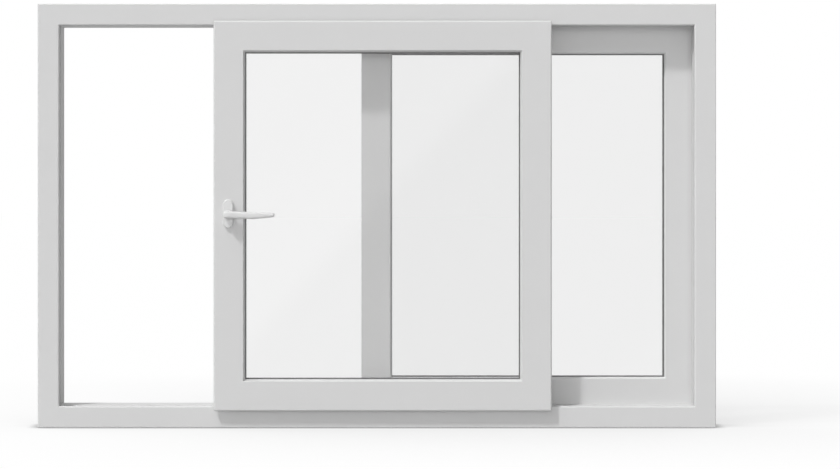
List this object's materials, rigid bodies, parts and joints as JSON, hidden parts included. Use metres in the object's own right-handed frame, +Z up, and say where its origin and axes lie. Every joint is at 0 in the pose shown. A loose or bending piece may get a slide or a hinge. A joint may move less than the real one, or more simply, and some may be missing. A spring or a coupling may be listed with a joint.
{
  "type": "horizontal sliding window",
  "caption": "White plastic horizontal sliding window with a fixed light, a sliding sash on rollers and a lever handle, drawn half open.",
  "frame": {"origin": "middle of the sill's underside, half-way along the width and the frame's depth", "axes": "+X along the width, to the right as seen from the room; +Y from the room to the outside; +Z up"},
  "size_m": [1.6, 0.1529, 1],
  "materials": {
    "pvc_white": "satin white extruded pvc",
    "handle_white": "white powder coat on cast metal",
    "seal_black": "black glazing rubber",
    "brush_grey": "grey pile on a plastic carrier",
    "aluminium": "mill finish extrusion",
    "nylon": "black moulded nylon",
    "zinc_steel": "zinc-plated steel",
    "glass": "clear float glass"
  },
  "bodies": {
    "frame": {"fixed_bead_bottom": "pvc_white", "fixed_bead_left": "pvc_white", "fixed_bead_right": "pvc_white", "fixed_bead_top": "pvc_white", "fixed_bottom_rail": "pvc_white", "fixed_meeting_stile": "pvc_white", "fixed_outer_pane": "glass", "fixed_outer_seal": "seal_black", "fixed_outer_stile": "pvc_white", "fixed_room_pane": "glass", "fixed_room_seal": "seal_black", "fixed_spacer": "aluminium", "fixed_top_rail": "pvc_white", "frame_head": "pvc_white", "frame_left_jamb": "pvc_white", "frame_right_jamb": "pvc_white", "frame_sill": "pvc_white", "head_rail": "aluminium", "infill_head": "pvc_white", "infill_jamb": "pvc_white", "infill_sill": "pvc_white", "sill_rail": "aluminium"},
    "sliding_sash": {"carriage_left": "zinc_steel", "carriage_right": "zinc_steel", "guide_left": "nylon", "guide_right": "nylon", "handle_plate": "handle_white", "lock_faceplate": "zinc_steel", "meeting_seal": "brush_grey", "sash_bead_bottom": "pvc_white", "sash_bead_left": "pvc_white", "sash_bead_right": "pvc_white", "sash_bead_top": "pvc_white", "sash_bottom_rail": "pvc_white", "sash_lip_seal": "seal_black", "sash_lock_stile": "pvc_white", "sash_meeting_stile": "pvc_white", "sash_outer_pane": "glass", "sash_outer_seal": "seal_black", "sash_room_pane": "glass", "sash_room_seal": "seal_black", "sash_spacer": "aluminium", "sash_top_rail": "pvc_white", "wheel_left_a": "nylon", "wheel_left_b": "nylon", "wheel_right_a": "nylon", "wheel_right_b": "nylon"},
    "lever": {"handle_lever": "handle_white"}
  },
  "joints": [
    {"name": "sash_slide", "type": "slide", "parent": "frame", "child": "sliding_sash", "axis": [1, 0, 0], "range_m": [-0.375, 0.345]},
    {"name": "handle_turn", "type": "hinge", "parent": "sliding_sash", "child": "lever", "pos_m": [-0.349, -0.09, 0.505], "axis": [0, -1, 0], "range_deg": [-90, 0]}
  ]
}
